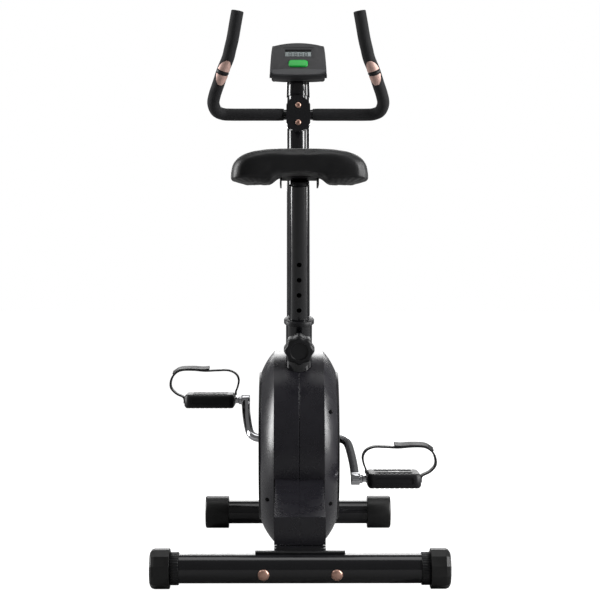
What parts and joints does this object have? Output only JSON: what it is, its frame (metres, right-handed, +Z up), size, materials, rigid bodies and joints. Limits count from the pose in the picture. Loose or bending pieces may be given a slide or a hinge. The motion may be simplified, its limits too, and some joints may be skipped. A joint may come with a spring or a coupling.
{
  "type": "exercise bike",
  "caption": "Upright magnetic exercise bike with a height-adjustable saddle, tilting handlebar, console, belt-driven flywheel in a shroud, strapped pedals and levelling feet.",
  "frame": {"origin": "on the floor, under the centre of the bounding box", "axes": "+Z up, +Y the way the rider faces, +X to the rider's right"},
  "size_m": [0.532, 0.781, 1.0797],
  "materials": {
    "black_paint": "gloss",
    "shroud_plastic": "satin",
    "black_plastic": "satin",
    "console_plastic": "matte",
    "display": "gloss",
    "green_button": "gloss",
    "black_rubber": "matte",
    "copper_plate": "brushed",
    "chrome": "polished",
    "steel": "satin",
    "cast_iron": "machined",
    "grip_foam": "matte foam",
    "strap": "matte",
    "saddle_vinyl": "matte grained vinyl"
  },
  "bodies": {
    "frame": {"main_beam": "black_paint", "rear_stabilizer": "black_paint", "rear_bolt_left": "copper_plate", "rear_bolt_right": "copper_plate", "rear_sleeve_left": "black_plastic", "rear_sleeve_right": "black_plastic", "front_stabilizer": "black_paint", "front_cap_left": "black_rubber", "front_cap_right": "black_rubber", "seat_tube": "black_paint", "post_bushing": "black_plastic", "bottom_bracket_shell": "black_paint", "bearing_cup_left": "steel", "bearing_cup_right": "steel", "fork_leg_left": "black_paint", "fork_leg_right": "black_paint", "post_socket": "black_paint", "flywheel_axle": "steel", "front_post": "black_paint", "clamp_cover": "black_paint", "clamp_bolt_upper": "copper_plate", "clamp_bolt_lower": "copper_plate", "shroud_left": "shroud_plastic", "shroud_right": "shroud_plastic", "side_cover_left": "black_plastic", "side_cover_right": "black_plastic", "drive_belt": "black_rubber", "tension_cable": "black_plastic", "console_front": "console_plastic", "console_back": "console_plastic", "display_window": "display", "neck_sleeve": "black_plastic"},
    "crank_set": {"crank": "chrome", "drive_pulley": "black_plastic", "spindle_left": "steel", "spindle_right": "steel"},
    "left_pedal": {"pedal_left": "black_plastic", "pedal_strap_left": "strap"},
    "right_pedal": {"pedal_right": "black_plastic", "pedal_strap_right": "strap"},
    "flywheel_unit": {"flywheel": "cast_iron"},
    "magnet_arm": {"magnet_bracket": "steel"},
    "saddle": {"seat_post": "black_paint", "saddle_bracket": "black_paint", "saddle_base": "black_plastic", "saddle_cushion": "saddle_vinyl"},
    "height_pin": {"pull_pin": "steel", "pin_spring": "steel"},
    "knob_of_pin": {"height_knob": "black_plastic"},
    "bars": {"handlebar": "black_paint", "grip_left": "grip_foam", "grip_right": "grip_foam", "pulse_sensor_left": "copper_plate", "pulse_sensor_right": "copper_plate"},
    "knob_of_tension": {"tension_knob": "black_plastic"},
    "button": {"mode_button": "green_button"},
    "left_foot": {"rear_cap_left": "black_rubber"},
    "right_foot": {"rear_cap_right": "black_rubber"},
    "left_wheel": {"transport_wheel_left": "black_rubber"},
    "right_wheel": {"transport_wheel_right": "black_rubber"}
  },
  "joints": [
    {"name": "crank_spin", "type": "hinge", "parent": "frame", "child": "crank_set", "pos_m": [0, 0.11, 0.213], "axis": [1, 0, 0], "continuous": true},
    {"name": "left_pedal_spin", "type": "hinge", "parent": "crank_set", "child": "left_pedal", "pos_m": [-0.1825, 0.21651, 0.28217], "axis": [1, 0, 0], "continuous": true},
    {"name": "right_pedal_spin", "type": "hinge", "parent": "crank_set", "child": "right_pedal", "pos_m": [0.1825, 0.00349, 0.14383], "axis": [1, 0, 0], "continuous": true},
    {"name": "flywheel_spin", "type": "hinge", "parent": "frame", "child": "flywheel_unit", "pos_m": [0, 0.215, 0.178], "axis": [1, 0, 0], "continuous": true},
    {"name": "tension_turn", "type": "hinge", "parent": "frame", "child": "knob_of_tension", "pos_m": [0, 0.26993, 0.76823], "axis": [0, -0.9914, 0.1305], "range_deg": [0, 270]},
    {"name": "magnet_swing", "type": "hinge", "parent": "frame", "child": "magnet_arm", "pos_m": [0, 0.25796, 0.09721], "axis": [1, 0, 0], "range_deg": [0, 2.5]},
    {"name": "seat_height", "type": "slide", "parent": "frame", "child": "saddle", "axis": [0, -0.2924, 0.9563], "range_m": [-0.15, 0.06]},
    {"name": "pin_pull", "type": "slide", "parent": "frame", "child": "height_pin", "axis": [0, -0.9563, -0.2924], "range_m": [0, 0.01], "stiffness_N_per_m": 1200},
    {"name": "height_knob_turn", "type": "hinge", "parent": "height_pin", "child": "knob_of_pin", "pos_m": [0, -0.011, 0.418], "axis": [0, -0.9563, -0.2924], "range_deg": [-180, 180]},
    {"name": "handlebar_tilt", "type": "hinge", "parent": "frame", "child": "bars", "pos_m": [0, 0.245, 0.878], "axis": [1, 0, 0], "range_deg": [-25, 25]},
    {"name": "button_press", "type": "slide", "parent": "frame", "child": "button", "axis": [0, 0.8191, -0.5736], "range_m": [0, 0.0015], "stiffness_N_per_m": 900},
    {"name": "left_foot_turn", "type": "hinge", "parent": "frame", "child": "left_foot", "pos_m": [-0.238, -0.355, 0.03325], "axis": [1, 0, 0], "range_deg": [-60, 60]},
    {"name": "right_foot_turn", "type": "hinge", "parent": "frame", "child": "right_foot", "pos_m": [0.238, -0.355, 0.03325], "axis": [1, 0, 0], "range_deg": [-60, 60]},
    {"name": "left_wheel_spin", "type": "hinge", "parent": "frame", "child": "left_wheel", "pos_m": [-0.174, 0.375, 0.024], "axis": [1, 0, 0], "continuous": true},
    {"name": "right_wheel_spin", "type": "hinge", "parent": "frame", "child": "right_wheel", "pos_m": [0.174, 0.375, 0.024], "axis": [1, 0, 0], "continuous": true}
  ],
  "couplings": [
    {"joint": "flywheel_spin", "follows": "crank_spin", "ratio": 4.7222},
    {"joint": "magnet_swing", "follows": "tension_turn", "ratio": 0.0092593}
  ]
}
